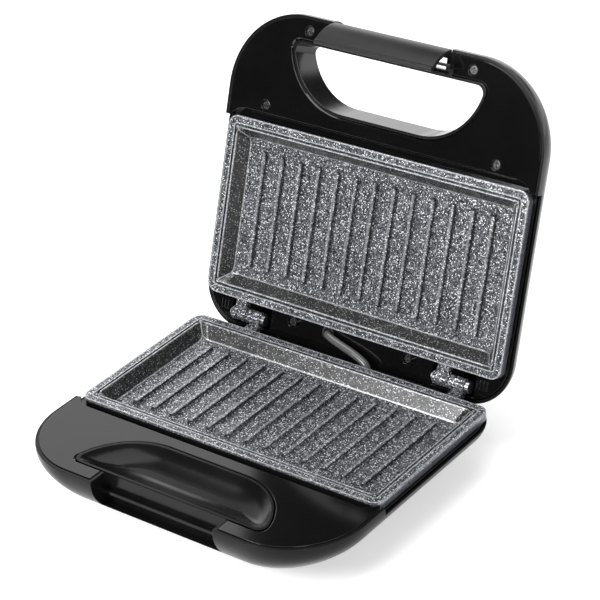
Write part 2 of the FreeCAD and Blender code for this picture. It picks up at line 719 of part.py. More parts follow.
FAR = as_size(200)


def rear_step(name):
    """Behind the handle zone the housing's edge is lower, so that the plate's wall shows."""
    return box(name + "_rear_step", (-FAR, FAR), (-d.zone_rear, FAR),
               (-d.ledge_drop - 0.5, 1 - d.edge_drop))


def foot_places():
    return [(side * d.foot_x, y) for y in (-d.foot_front, d.foot_rear) for side in (-1, 1)]


def bowl(name, profile):
    """A D-shaped dish through outlines; profile holds (drop below the deck, outward growth)."""
    owner = body(name)
    loft(owner, "AdditiveLoft", name + "_loft", [
        grip_outline(owner, f"{name}_level_{number}", -d.panel_drop - drop, as_size(grow),
                     d.bowl_front) for number, (drop, grow) in enumerate(profile)])
    return owner


def base_shell():
    """The lower housing: a hollow hull with the latch notch, the rimmed finger bowl, screw
    pillars and foot holes."""
    outer, inner = shell_of("base_shell", BASE, *base_levels())
    notch, back, skin = d.notch_half, d.notch_back, d.skin
    niche = box("base_niche_block", (-notch - skin, notch + skin), (-FAR, -back + skin),
                (-FAR, FAR))
    hollow = cut("base_hollow_cut", inner, [niche])
    opening = box("base_notch_cut", (-notch, notch), (-FAR, -back), (-d.notch_depth, FAR))
    catch = box("base_catch", (-notch, notch), (-d.catch_front, -back + 0.5),
                (-d.catch_top - d.catch_thick, -d.catch_top))
    depth = d.bowl_depth
    dish = bowl("base_bowl", [(as_size(0), d.grip_rim), (depth * 0.6, -1),
                              (depth, -5.6), (depth + d.skin, -13)])
    dish_hollow = bowl("base_bowl_hollow", [(as_size(0), 0), (depth * 0.4, -3.4),
                                            (depth * 0.76, -8.4), (depth, -15)])
    pillars, holes = [], [dish_hollow]
    for number, (x, y) in enumerate(base_screw_places()):
        label = f"base_pillar_{number}"
        pillars.append(rod(label, "z", d.boss_radius, -d.base_bottom + 0.6, -15, x, y))
        holes.append(rod(label + "_hole", "z", d.screw_hole, -FAR, FAR, x, y))
        holes.append(rod(label + "_counterbore", "z", d.head_radius + 0.5, -FAR,
                         -d.base_bottom + d.counterbore, x, y))
    for number, side in enumerate((-1, 1)):
        label = f"base_rear_pillar_{number}"
        x = d.ring_x * side
        column = rod(label + "_rod", "z", d.boss_radius, -24, -d.ledge_drop - d.skin - 0.2, x,
                     d.ledge_screw_y)
        pillars.append(common(label, column, inner_copy(label + "_limit")))
        holes.append(rod(label + "_hole", "z", d.screw_hole, -18, FAR, x, d.ledge_screw_y))
    for number, (x, y) in enumerate(foot_places()):
        holes.append(rod(f"base_foot_hole_{number}", "z", d.stub_radius + 0.1, -FAR,
                         -d.base_bottom + d.skin + 1, x, y))
    holes.append(rod("base_gland_hole", "y", d.gland_radius + 0.1, 40, FAR, -d.gland_x,
                     -d.gland_drop))
    shell = cut("base_shell_open", outer, [hollow, opening, rear_step("base")])
    return cut("base_shell", fuse("base_shell_solid", [shell, catch, dish] + pillars), holes)


def inner_copy(label):
    """The lower housing's hollow again, used to keep a pillar inside it."""
    return hull(label, BASE, base_levels()[1], d.skin)


def base_screw_places():
    return [(side * d.base_screw_x, -d.base_screw_y) for side in (-1, 1)]


def deck_outline(owner, name, level, plan, inset, rear, rear_corner):
    """The deck fits inside the housing's edge, with a narrow seam all round."""
    gap = d.edge_skin + d.seam + inset
    return rounded_outline(owner, name, level, plan.half - gap, -plan.front + gap, rear,
                           plan.corner - gap, rear_corner)


def deck(name, plan):
    """The inner cover round a plate: low ledge, raised handle zone, plate well and opening."""
    owner = body(name + "_moulding")
    gap = d.edge_skin + d.seam
    skin = d.skin
    low = -d.ledge_drop - skin
    full = deck_outline(owner, name + "_full", low, plan, 0, plan.rear - gap,
                        plan.rear_corner - gap)
    pad(owner, name + "_ledge", full, skin)
    zone = deck_outline(owner, name + "_zone", low, plan, 0, -d.zone_rear, 0.8)
    pad(owner, name + "_zone_block", zone, -low - d.panel_drop)
    hollow = deck_outline(owner, name + "_zone_hollow", low, plan, skin,
                          -d.well_front - skin, 2)
    pocket(owner, name + "_zone_underside", hollow, -low - d.panel_drop - skin, upwards=True)
    well = rounded_outline(owner, name + "_well", -d.panel_drop,
                           d.plate_width / 2 + d.well_gap, -d.well_front,
                           FAR, d.well_corner, 2)
    pocket(owner, name + "_plate_well", well, d.ledge_drop - d.panel_drop)
    margin = d.opening_margin
    hole = rounded_outline(owner, name + "_hole", -d.ledge_drop + 1,
                           d.plate_width / 2 - margin, -d.plate_depth / 2 + margin,
                           d.plate_depth / 2 - margin, 4, 4)
    pocket(owner, name + "_tray_opening", hole, skin + 4)
    notch = rectangle(owner, name + "_notch", 1, plan.notch + d.skin + d.seam, -FAR,
                      -plan.grip_front + 8)
    pocket(owner, name + "_latch_notch", notch, 20)
    grow = d.grip_rim + d.seam
    grip = grip_outline(owner, name + "_grip_hole", 1, grow, plan.grip_front)
    pocket(owner, name + "_grip_opening", grip, 20)
    loft(owner, "SubtractiveLoft", name + "_grip_edge", [
        grip_outline(owner, name + "_grip_edge_top", -d.panel_drop, grow + d.grip_chamfer,
                     plan.grip_front),
        grip_outline(owner, name + "_grip_edge_low", -d.panel_drop - d.grip_chamfer, grow,
                     plan.grip_front)])
    return owner


def base_deck():
    """The lower deck, cut away round the housing's finger bowl and latch notch."""
    owner = deck("base_deck", BASE)
    bosses, holes = [owner], []
    for number, side in enumerate((-1, 1)):
        holes.append(rod(f"base_deck_rear_hole_{number}", "z", d.screw_hole, -FAR, 0,
                         side * d.ring_x, d.ledge_screw_y))
    for number, (x, y) in enumerate(base_screw_places()):
        bosses.append(rod(f"base_deck_boss_{number}", "z", d.boss_radius, -14.8,
                          -d.panel_drop - 1, x, y))
        holes.append(rod(f"base_deck_boss_hole_{number}", "z", d.screw_hole, -FAR,
                         -d.panel_drop - d.skin, x, y))
    holes.append(rod("base_deck_lead_hole", "z", d.lead_hole, -FAR, 0, d.lead_x, d.lead_y))
    return cut("base_deck", fuse("base_deck_solid", bosses), holes)


def lid_screw_places():
    near, far = d.grip_screw_x, d.side_screw_x
    return [(side * x, -y) for x, y in ((near, d.grip_screw_y), (far, d.side_screw_y))
            for side in (-1, 1)]


def knuckle_window(name, side):
    """Where a pair of knuckles and their pin rise through the lid's deck."""
    middle = d.hinge_spacing / 2 * side
    return box(f"{name}_window_{side + 1}", (middle - 15.5, middle + 15.5),
               (d.plate_depth / 2 + 0.6, d.hinge_back + 6.3), (-d.ledge_drop - d.skin - 1, 0))


def lid_panel():
    """The lid's inner cover, with the handle opening, four screw wells and hinge windows."""
    owner = deck("lid_panel", LID)
    top = -d.panel_drop
    bosses, holes = [owner], []
    for number, side in enumerate((-1, 1)):
        label, x = f"lid_ring_{number}", side * d.ring_x
        bosses.append(rod(label, "z", d.boss_radius, -d.ledge_drop - 1,
                          -d.ledge_drop + d.ring_rise, x, d.ring_y))
        holes.append(rod(label + "_well", "z", d.ring_well, -d.ledge_drop - 0.6, FAR, x,
                         d.ring_y))
        holes.append(rod(label + "_hole", "z", d.screw_hole, -FAR, FAR, x, d.ring_y))
    for number, (x, y) in enumerate(lid_screw_places()):
        label = f"lid_panel_screw_{number}"
        bosses.append(rod(label + "_boss", "z", d.boss_radius + 0.6,
                          top - d.screw_well - 1.6, top - 1, x, y))
        holes.append(rod(label + "_well", "z", d.well_radius, top - d.screw_well, FAR, x, y))
        holes.append(rod(label + "_hole", "z", d.screw_hole, -FAR, FAR, x, y))
    bosses.append(box("lid_ledge_bead", (-d.bead_reach, d.bead_reach), (-62.2, -61.2),
                      (-d.ledge_drop - 1, -d.ledge_drop + 0.9)))
    for side in (-1, 1):
        holes.append(knuckle_window("lid_panel", side))
        for number in range(3):
            middle = side * 98 + as_size(number - 1) * 2.4
            bosses.append(box(f"lid_mark_{side + 1}_{number}", (middle - 0.4, middle + 0.4),
                              (61.5, 67), (-d.ledge_drop - 1, -d.ledge_drop + 0.5)))
    holes.append(rod("lid_panel_lead_hole", "z", d.grommet_radius + 0.05, -FAR, 0,
                     d.lead_lid_x, d.lead_lid_y))
    return cut("lid_panel", fuse("lid_panel_solid", bosses), holes)


def handle_relief(name, offset):
    """Everything below the handle: a flat roof that curves down into the dome's front slope."""
    owner = body(name)
    item = sketch(owner, name + "_profile", as_size(0), "YZ_Plane")
    roof, root = -d.handle_thick + offset, -d.handle_root + offset
    bend, slope = d.handle_bend - offset, math.radians(d.handle_slope.value)
    root_y, roof_z, r = root.value, roof.value, bend.value
    turned = (root_y + r * math.sin(slope), roof_z - r + r * math.cos(slope))
    foot_z = -60
    foot_y = turned[0] + (turned[1] - foot_z) / math.tan(slope)
    item.addGeometry([
        line((-200, roof_z), (root_y, roof_z)),
        arc((root_y, roof_z - r), r, 90 - d.handle_slope.value, 90),
        line(turned, (foot_y, foot_z)),
        line((foot_y, foot_z), (-200, foot_z)),
        line((-200, foot_z), (-200, roof_z)),
    ], False)
    item.addConstraint(Sketcher.Constraint("Tangent", 0, 2, 1, 2))
    item.addConstraint(Sketcher.Constraint("Tangent", 1, 1, 2, 1))
    for first, second in ((2, 3), (3, 4), (4, 0)):
        item.addConstraint(Sketcher.Constraint("Coincident", first, 2, second, 1))
    item.addConstraint(Sketcher.Constraint("Horizontal", 0))
    item.addConstraint(Sketcher.Constraint("Horizontal", 3))
    item.addConstraint(Sketcher.Constraint("Vertical", 4))
    locate(item, "roof", "DistanceY", 0, 1, roof)
    locate(item, "root", "DistanceX", 0, 2, root)
    locate(item, "front", "DistanceX", 0, 1, as_size(-200))
    locate(item, "foot", "DistanceY", 3, 1, as_size(foot_z))
    locate(item, "foot_rear", "DistanceX", 3, 1, as_size(foot_y))
    dimension(item, "bend", "Radius", (1,), bend)
    prism = pad(owner, name + "_prism", item, 300)
    prism.Midplane = True
    return owner


def grip_tube(name, upper, lower):
    """The handle opening's D drawn out between two (level, growth) pairs."""
    owner = body(name)
    loft(owner, "AdditiveLoft", name + "_loft", [
        grip_outline(owner, name + "_upper", *upper, d.grip_front),
        grip_outline(owner, name + "_lower", *lower, d.grip_front)])
    return owner


def lid_cover():
    """The outer cover: deep over the plate, thin along the handle, with the grip's wall."""
    outer, inner = shell_of("lid_cover", LID, *lid_levels())
    skin, notch = d.skin, LID.notch
    relief = handle_relief("lid_handle_relief", as_size(0))
    relief_inner = handle_relief("lid_handle_relief_inner", skin)
    niche = box("lid_niche_block", (-notch - skin, notch + skin),
                (-FAR, -d.grip_front + 0.1), (-FAR, FAR))
    hollow = cut("lid_hollow_cut", inner, [relief_inner, niche])
    latch_gap = box("lid_latch_gap", (-notch, notch), (-FAR, -d.grip_front), (-FAR, FAR))
    shell = cut("lid_cover_open", outer, [hollow, relief, latch_gap, rear_step("lid")])
    bar = box("lid_handle_bar", (-notch - 1, notch + 1), (-d.bar_front, -d.grip_front + 1.5),
              (-d.bar_bottom, -d.bar_top))
    top, low = -d.grip_rim_drop, -d.handle_thick
    grip = grip_tube("lid_grip_wall", (top, d.grip_rim), (low, skin - d.grip_draft))
    grip_hole = grip_tube("lid_grip_hollow", (top + 2, as_size(0.3)),
                          (low - 2, -d.grip_draft - 0.3))
    solids, holes = [shell, bar, grip], [grip_hole]
    for number, (x, y) in enumerate(lid_screw_places()):
        label = f"lid_pillar_{number}"
        solids.append(rod(label, "z", d.pillar_radius, -d.handle_thick + 0.6,
                          -d.panel_drop - d.screw_well - 1.9, x, y))
        holes.append(rod(label + "_hole", "z", d.screw_hole, -d.handle_thick + 3, 0, x, y))
    for number, side in enumerate((-1, 1)):
        label = f"lid_ring_pillar_{number}"
        x = side * d.ring_x
        solids.append(rod(label, "z", d.boss_radius, -23,
                          -d.ledge_drop - d.skin - 0.2, x, d.ring_y))
        holes.append(rod(label + "_hole", "z", d.screw_hole, -18, 0, x, d.ring_y))
        holes.append(box(f"lid_bar_window_{number}",
                         (-d.window_far, -d.window_near) if side < 0 else
                         (d.window_near, d.window_far), (-120.5, -113.5), (-FAR, 0)))
    holes.append(rod("lid_rod_hole", "x", d.rod_radius + d.pin_clearance, -notch - 1.6,
                     notch + 1.6, -d.rod_y, -d.rod_z))
    for number, side in enumerate((-1, 1)):
        holes.append(rod(f"lid_lens_hole_{number}", "z", d.lens_radius + 0.1, -FAR, -d.lid_bottom
                         + d.skin + 2, side * d.lens_x, -d.lens_y))
    return cut("lid_cover", fuse("lid_cover_solid", solids), holes)


# ---------------------------------------------------------------- latch

def latch():
    """A curved plate on two ears; its lower edge hooks under the catch in the base."""
    owner = body("latch_plate")
    item = sketch(owner, "latch_profile", as_size(0), "YZ_Plane")
    centre = (-d.latch_centre_y.value, -d.latch_centre_z.value)
    outer, inner = d.latch_radius.value, d.latch_radius.value - d.latch_wall.value
    tip, top = d.latch_tip.value, d.latch_top.value

    def at(radius, angle):
        turn = math.radians(angle)
        return (centre[0] + radius * math.cos(turn), centre[1] + radius * math.sin(turn))

    item.addGeometry([
        arc(centre, outer, tip, top),
        line(at(outer, top), at(inner, top)),
        arc(centre, inner, tip, top),
        line(at(inner, tip), at(outer, tip)),
    ], False)
    for first, point, second, other in ((0, 2, 1, 1), (1, 2, 2, 2), (2, 1, 3, 1), (3, 2, 0, 1)):
        item.addConstraint(Sketcher.Constraint("Coincident", first, point, second, other))
    item.addConstraint(Sketcher.Constraint("Coincident", 0, 3, 2, 3))
    locate(item, "centre_y", "DistanceX", 0, 3, -d.latch_centre_y)
    locate(item, "centre_z", "DistanceY", 0, 3, -d.latch_centre_z)
    dimension(item, "outer", "Radius", (0,), d.latch_radius)
    dimension(item, "inner", "Radius", (2,), d.latch_radius - d.latch_wall)
    for number, (point, angle) in enumerate(((1, tip), (2, top))):
        for kind, coordinate in (("DistanceX", 0), ("DistanceY", 1)):
            for ring, radius in ((0, outer), (2, inner)):
                if kind == "DistanceX":
                    reach = at(radius, angle)[coordinate]
                    locate(item, f"end_{number}_{ring}", kind, ring, point, reach)
    plate = pad(owner, "latch_pad", item, d.latch_half * 2)
    plate.Midplane = True
    pieces = [owner]
    turn = math.radians(tip)
    middle = d.latch_radius - d.latch_wall / 2
    bead_y = -d.latch_centre_y + middle * math.cos(turn)
    bead_z = -d.latch_centre_z + middle * math.sin(turn)
    pieces.append(rod("latch_bead", "x", d.latch_bead, -d.latch_half, d.latch_half, bead_y,
                      bead_z))
    inner_face = -d.latch_centre_y - d.latch_radius + d.latch_wall
    for number, side in enumerate((-1, 1)):
        x = side * d.ear_x
        span = (x - d.ear_thick / 2, x + d.ear_thick / 2)
        pieces.append(box(f"latch_ear_{number}", span, (inner_face - 1, -d.rod_y
                                                        + d.ear_radius), (-d.rod_z, 1)))
        pieces.append(rod(f"latch_ear_eye_{number}", "x", d.ear_radius, *span, -d.rod_y,
                          -d.rod_z))
    bore = rod("latch_bore", "x", d.rod_radius + d.pin_clearance, -FAR, FAR, -d.rod_y, -d.rod_z)
    return cut("latch", fuse("latch_solid", pieces), [bore])


def latch_spring():
    """A wound spring round the rod, drawn as its closed coils, with a short arm at each end."""
    y, z, half = -d.rod_y, -d.rod_z, d.spring_half
    coils = rod("spring_coils", "x", d.spring_radius, -half, half, y, z)
    bore = rod("spring_bore", "x", d.spring_bore, -half - 1, half + 1, y, z)
    sleeve = cut("spring_sleeve", coils, [bore])
    middle = (d.spring_radius + d.spring_bore) / 2
    wire = (d.spring_radius - d.spring_bore) / 2
    arms = [rod("spring_arm_front", "z", wire, z, z + 8, -half + wire, y - middle),
            rod("spring_arm_rear", "y", wire, y, y + 4.5, half - wire, z + middle)]
    return fuse("latch_spring", [sleeve] + arms)


# ---------------------------------------------------------------- leads

def smooth_tube(name, points, radius):
    """A round lead: straight runs between points, joined by the largest tangent arcs."""
    corners = [FreeCAD.Vector(*point) for point in points]
    edges, here, length = [], corners[0], 0
    for before, corner, after in zip(corners, corners[1:], corners[2:]):
        to_start, to_end = (before - corner).normalize(), (after - corner).normalize()
        turn = math.pi - to_start.getAngle(to_end)
        trim = 0.45 * min(before.distanceToPoint(corner), corner.distanceToPoint(after))
        bend = trim / math.tan(turn / 2)
        inwards = (to_start + to_end).normalize()
        middle = corner + inwards * (bend / math.cos(turn / 2) - bend)
        start, end = corner + to_start * trim, corner + to_end * trim
        edges.append(Part.LineSegment(here, start).toShape())
        edges.append(Part.Arc(start, middle, end).toShape())
        here = end
        print(f"{name}: bend radius {bend:.1f} mm")
    edges.append(Part.LineSegment(here, corners[-1]).toShape())
    wire = Part.Wire(edges)
    first = (corners[1] - corners[0]).normalize()
    ring = Part.Wire([Part.Circle(corners[0], first, radius).toShape()])
    solid = wire.makePipeShell([ring], True, False)
    length = wire.Length
    section = math.pi * radius ** 2
    print(f"{name}: {length:.1f} mm long, volume is {solid.Volume / (section * length):.4f}"
          " of section times length")
    item = doc.addObject("Part::Feature", name)
    item.Shape = solid
    return item


def from_lid(x, y, z):
    """Takes a point of the lid's own frame to the base's frame, with the lid open."""
    turn = math.radians(d.open_angle.value)
    back, rise = d.hinge_back.value, d.hinge_rise.value
    closed_y, closed_z = y - back, -z - rise
    return (-x, back + closed_y * math.cos(turn) + closed_z * math.sin(turn),
            rise - closed_y * math.sin(turn) + closed_z * math.cos(turn))


def link_lead():
    """The sleeved lead that carries current across the hinge, from base to lid."""
    x, y = d.lead_x.value, d.lead_y.value
    lid_x, lid_y = d.lead_lid_x.value, d.lead_lid_y.value
    drop = d.ledge_drop.value
    route = [(x, y - 6, -drop - 7.4), (x, y, -drop - 5), (x - 1, y + 0.6, -drop + 4),
             (x - 17, y + 3.6, 1.6), (x - 29, y + 4.8, 6.4),
             from_lid(lid_x, lid_y, -drop + 4.6), from_lid(lid_x, lid_y, -drop - 5)]
    return smooth_tube("link_lead", route, d.lead_radius.value)


def lead_grommet():
    """The rubber bush round the lead where it enters the lid."""
    x, y = d.lead_lid_x, d.lead_lid_y
    low = -d.ledge_drop - d.skin
    barrel = rod("grommet_barrel", "z", d.grommet_radius, low - 1, -d.ledge_drop + 0.8, x, y)
    flange = rod("grommet_flange", "z", d.grommet_radius + 0.6, -d.ledge_drop,
                 -d.ledge_drop + 0.8, x, y)
    bore = rod("grommet_bore", "z", d.lead_radius + 0.35, low - 2, 0, x, y)
    return cut("lead_grommet", fuse("grommet_solid", [barrel, flange]), [bore])


# ---------------------------------------------------------------- lamps and screws

def lamp_lens(name, side):
    """A lens pushed through the cover from inside, up to its flange."""
    x, y = side * d.lens_x, -d.lens_y
    floor = -d.lid_bottom + d.skin
    stem = rod(name + "_stem", "z", d.lens_radius, -d.lid_bottom - 0.8, floor + 0.5, x, y)
    flange = rod(name + "_flange", "z", d.lens_radius + 1, floor, floor + 1, x, y)
    return fuse(name, [stem, flange])


def lamp_holder():
    """The moulded holder behind both lenses, with a neon lamp's bore under each."""
    floor = -d.lid_bottom + d.skin + 1
    reach = d.lens_x + 8
    block = box("holder_block", (-reach, reach), (-d.lens_y - 6, -d.lens_y + 6),
                (floor, floor + 6.2))
    bores = [rod(f"holder_bore_{side + 1}", "z", 2.4, floor - 1, floor + 4.5, side * d.lens_x,
                 -d.lens_y) for side in (-1, 1)]
    return cut("lamp_holder", block, bores)


def latch_rod():
    reach = LID.notch + 1.3
    return group("latch_rod", [rod("latch_rod_bar", "x", d.rod_radius, -reach, reach, -d.rod_y,
                                   -d.rod_z)])


def base_screws():
    top = -d.base_bottom + d.counterbore - d.head_height
    return group("base_screws", [screw(f"base_screw_{number}", x, y, top, 12, upwards=False)
                                 for number, (x, y) in enumerate(base_screw_places())])


def base_rear_screws():
    top = -d.ledge_drop + d.head_height
    return group("base_rear_screws", [
        screw(f"base_rear_screw_{number}", side * d.ring_x, d.ledge_screw_y, top, 8)
        for number, side in enumerate((-1, 1))])


def lid_rear_screws():
    top = -d.ledge_drop - 0.6 + d.head_height
    return group("lid_rear_screws", [
        screw(f"lid_rear_screw_{number}", side * d.ring_x, d.ring_y, top, 9)
        for number, side in enumerate((-1, 1))])


def lid_panel_screws():
    top = -d.panel_drop - d.screw_well + d.head_height
    return group("lid_panel_screws", [screw(f"lid_panel_screw_{number}_part", x, y, top, 9)
                                      for number, (x, y) in enumerate(lid_screw_places())])


# ---------------------------------------------------------------- placing and export

def base_place():
    return FreeCAD.Placement(FreeCAD.Vector(0, d.plate_shift.value, d.rim_height.value),
                             FreeCAD.Rotation())


def lid_place():
    """Turned over onto the base, then swung open about the hinge axis."""
    over = FreeCAD.Placement(FreeCAD.Vector(), FreeCAD.Rotation(FreeCAD.Vector(0, 1, 0), 180))
    axis = FreeCAD.Vector(0, d.hinge_back.value, d.hinge_rise.value)
    swing = FreeCAD.Rotation(FreeCAD.Vector(1, 0, 0), -d.open_angle.value)
    opened = FreeCAD.Placement(axis - swing.multVec(axis), swing)
    return base_place().multiply(opened).multiply(over)


def keep(name, item, place):
    item.Label = name
    item.Placement = place
    nodes[name] = item


def build_base():
    place = base_place()
    keep("base_shell", base_shell(), place)
    keep("base_deck", base_deck(), place)
    keep("lower_plate", grill_plate("lower_plate", d.hinge_rise), place)
    keep("lower_element", heating_element("lower_element"), place)
    keep("lower_reflector", reflector("lower_reflector"), place)
    keep("lower_straps", straps("lower_straps"), place)
    keep("lower_strap_screws", strap_screws("lower_strap_screws"), place)
    keep("lower_thermostat", thermostat("lower_thermostat", as_size(0)), place)
    keep("thermal_fuse", thermal_fuse(), place)
    keep("terminal_block", terminal_block(), place)
    left, low = -d.block_left.value, -d.wire_drop.value
    keep("lower_wires", element_wires("lower_wires", [
        [(-82, -40, low), (-82, -57, low), (left, -57, low)],
        [(-86, 10, low), (-86, -61, low), (left, -61, low)]]), place)
    keep("cord_gland", cord_gland(), place)
    for name, (x, y) in zip(("foot_front_left", "foot_front_right", "foot_rear_left",
                             "foot_rear_right"), foot_places()):
        keep(name, foot(name, x, y), place)
    keep("base_screws", base_screws(), place)
    keep("base_rear_screws", base_rear_screws(), place)
    keep("hinge_pin_left", hinge_pin("hinge_pin_left", -1), place)
    keep("hinge_pin_right", hinge_pin("hinge_pin_right", 1), place)
    keep("hinge_clips", hinge_clips(), place)
    keep("link_lead", link_lead(), place)


def build_lid():
    place = lid_place()
    keep("lid_cover", lid_cover(), place)
    keep("lid_panel", lid_panel(), place)
    keep("upper_plate", grill_plate("upper_plate", -d.hinge_rise), place)
    keep("upper_element", heating_element("upper_element"), place)
    keep("upper_reflector", reflector("upper_reflector"), place)
    keep("upper_straps", straps("upper_straps"), place)
    keep("upper_strap_screws", strap_screws("upper_strap_screws"), place)
    keep("upper_thermostat", thermostat("upper_thermostat", as_size(0)), place)
    holder, low = -d.lens_x.value - 8, -d.wire_drop.value - 1
    keep("upper_wires", element_wires("upper_wires", [
        [(-84, -36, low), (holder, -36, low - 2)],
        [(-86, 14, low), (-70, -32, low), (holder, -32, low - 2)]]), place)
    keep("lid_panel_screws", lid_panel_screws(), place)
    keep("lid_rear_screws", lid_rear_screws(), place)
    keep("power_lens", lamp_lens("power_lens", 1), place)
    keep("ready_lens", lamp_lens("ready_lens", -1), place)
    keep("lamp_holder", lamp_holder(), place)
    keep("lead_grommet", lead_grommet(), place)
    keep("latch_rod", latch_rod(), place)
    keep("latch_spring", latch_spring(), place)
    keep("latch", latch(), place)


def export_nodes():
    doc.recompute()
    for item in doc.Objects:
        if "Invalid" in item.State or "Error" in item.State:
            raise RuntimeError(f"{item.Name} failed: {item.State}")
    os.makedirs("parts", exist_ok=True)
    for name, item in nodes.items():
        shape = item.Shape
        if shape.isNull() or not shape.isValid():
            raise RuntimeError(f"{name} has no valid shape")
        shape.exportStep(f"parts/{name}.step")
        print(f"{name}: {len(shape.Solids)} solids, {shape.Volume / 1000:.2f} cm3")


build_base()
build_lid()
export_nodes()
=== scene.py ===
import json
import math

import bpy
from mathutils import Matrix, Vector


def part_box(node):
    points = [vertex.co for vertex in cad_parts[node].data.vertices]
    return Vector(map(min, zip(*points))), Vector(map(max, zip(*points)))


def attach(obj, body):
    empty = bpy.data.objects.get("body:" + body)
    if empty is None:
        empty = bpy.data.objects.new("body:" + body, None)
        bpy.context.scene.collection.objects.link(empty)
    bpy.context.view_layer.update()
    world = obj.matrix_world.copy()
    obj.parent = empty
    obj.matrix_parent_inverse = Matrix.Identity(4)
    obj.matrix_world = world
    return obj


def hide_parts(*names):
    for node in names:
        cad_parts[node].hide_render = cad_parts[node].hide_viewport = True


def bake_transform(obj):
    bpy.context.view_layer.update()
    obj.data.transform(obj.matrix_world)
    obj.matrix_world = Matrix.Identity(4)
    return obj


MM = 0.001

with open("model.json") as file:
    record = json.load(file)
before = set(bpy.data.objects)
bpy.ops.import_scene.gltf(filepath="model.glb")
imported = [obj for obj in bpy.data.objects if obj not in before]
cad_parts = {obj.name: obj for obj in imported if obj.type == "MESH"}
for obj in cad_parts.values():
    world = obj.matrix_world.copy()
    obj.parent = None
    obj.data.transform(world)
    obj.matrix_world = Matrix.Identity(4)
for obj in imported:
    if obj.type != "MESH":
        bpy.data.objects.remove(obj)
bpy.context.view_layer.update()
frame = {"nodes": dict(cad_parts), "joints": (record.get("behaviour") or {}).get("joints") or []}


# ---------------------------------------------------------------- the two halves' own frames

joint_at = {joint["name"]: Vector(joint["pos_m"]) for joint in frame["joints"]}
hinge = joint_at["lid_hinge"]
plate_low, plate_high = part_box("lower_reflector")
PLATE_MIDDLE_Y = (plate_low.y + plate_high.y) / 2
HINGE_RISE = 3 * MM
RIM_Z = hinge.z - HINGE_RISE
OPEN = math.radians(110)

# the grill plates, seen from above in a half's own frame
PLATE_HALF_X, PLATE_HALF_Y, PLATE_CORNER = 111 * MM, 57.4 * MM, 7 * MM
RIB_PITCH, RIB_STRAIGHT_END, RIB_ROW_END = 14.2 * MM, 35.4 * MM, 88.4 * MM
MITRE_OFFSET = PLATE_HALF_X - PLATE_HALF_Y + 0.2 * MM

base_frame = Matrix.Translation((0, PLATE_MIDDLE_Y, RIM_Z))
lid_closed = base_frame @ Matrix.Rotation(math.pi, 4, "Y")
lid_frame = (Matrix.Translation(hinge) @ Matrix.Rotation(-OPEN, 4, "X")
             @ Matrix.Translation(-hinge) @ lid_closed)


# ---------------------------------------------------------------- material helpers

class Nodes:
    """A material's node tree, with short calls for the nodes that the finishes share."""

    def __init__(self, name, own_frame=None):
        self.material = bpy.data.materials.new(name)
        self.material.use_nodes = True
        self.tree = self.material.node_tree
        self.shader = self.tree.nodes["Principled BSDF"]
        coordinates = self.add("ShaderNodeTexCoord")
        self.place = coordinates.outputs["Object"]
        if own_frame is not None:
            back = own_frame.inverted()
            mapping = self.add("ShaderNodeMapping")
            mapping.inputs["Location"].default_value = back.to_translation()
            mapping.inputs["Rotation"].default_value = back.to_euler()
            self.link(self.place, mapping.inputs["Vector"])
            self.place = mapping.outputs["Vector"]

    def add(self, kind, **settings):
        node = self.tree.nodes.new(kind)
        for key, value in settings.items():
            setattr(node, key, value)
        return node

    def link(self, source, target):
        self.tree.links.new(source, target)

    def feed(self, socket, value):
        if isinstance(value, bpy.types.NodeSocket):
            self.link(value, socket)
        else:
            socket.default_value = value

    def noise(self, scale, detail, place=None):
        node = self.add("ShaderNodeTexNoise")
        self.link(place or self.place, node.inputs["Vector"])
        node.inputs["Scale"].default_value = scale
        node.inputs["Detail"].default_value = detail
        node.inputs["Roughness"].default_value = 0.55
        return node.outputs["Fac"]

    def cells(self, scale):
        node = self.add("ShaderNodeTexVoronoi")
        self.link(self.place, node.inputs["Vector"])
        node.inputs["Scale"].default_value = scale
        node.inputs["Randomness"].default_value = 1.0
        return node.outputs["Distance"], node.outputs["Color"]

    def spread(self, value, low, high, to_low=0.0, to_high=1.0):
        """Maps low..high to to_low..to_high, clamped."""
        node = self.add("ShaderNodeMapRange")
        self.feed(node.inputs["Value"], value)
        for key, number in (("From Min", low), ("From Max", high), ("To Min", to_low),
                            ("To Max", to_high)):
            node.inputs[key].default_value = number
        return node.outputs["Result"]

    def math(self, operation, first, second=0.0):
        node = self.add("ShaderNodeMath", operation=operation)
        self.feed(node.inputs[0], first)
        self.feed(node.inputs[1], second)
        return node.outputs[0]

    def mix(self, factor, first, second):
        node = self.add("ShaderNodeMix", data_type="RGBA")
        self.feed(node.inputs["Factor"], factor)
        for socket, value in ((node.inputs[6], first), (node.inputs[7], second)):
            self.feed(socket, value if isinstance(value, bpy.types.NodeSocket)
                      else (*value, 1))
        return node.outputs[2]

    def split(self, vector):
        node = self.add("ShaderNodeSeparateXYZ")
        self.link(vector, node.inputs[0])
        return node.outputs

    def bump(self, height, strength, distance, edge=0.0004):
        """Surface relief over edges that look rounded by the radius edge."""
        rounded = self.add("ShaderNodeBevel", samples=6)
        rounded.inputs["Radius"].default_value = edge
        node = self.add("ShaderNodeBump")
        node.inputs["Strength"].default_value = strength
        node.inputs["Distance"].default_value = distance
        self.link(height, node.inputs["Height"])
        self.link(rounded.outputs["Normal"], node.inputs["Normal"])
        self.link(node.outputs["Normal"], self.shader.inputs["Normal"])

    def set(self, **values):
        names = {"color": "Base Color", "metallic": "Metallic", "roughness": "Roughness",
                 "transmission": "Transmission Weight", "ior": "IOR",
                 "specular": "Specular IOR Level"}
        for key, value in values.items():
            socket = self.shader.inputs[names[key]]
            if isinstance(value, tuple):
                value = (*value, 1)
            self.feed(socket, value)
        return self.material


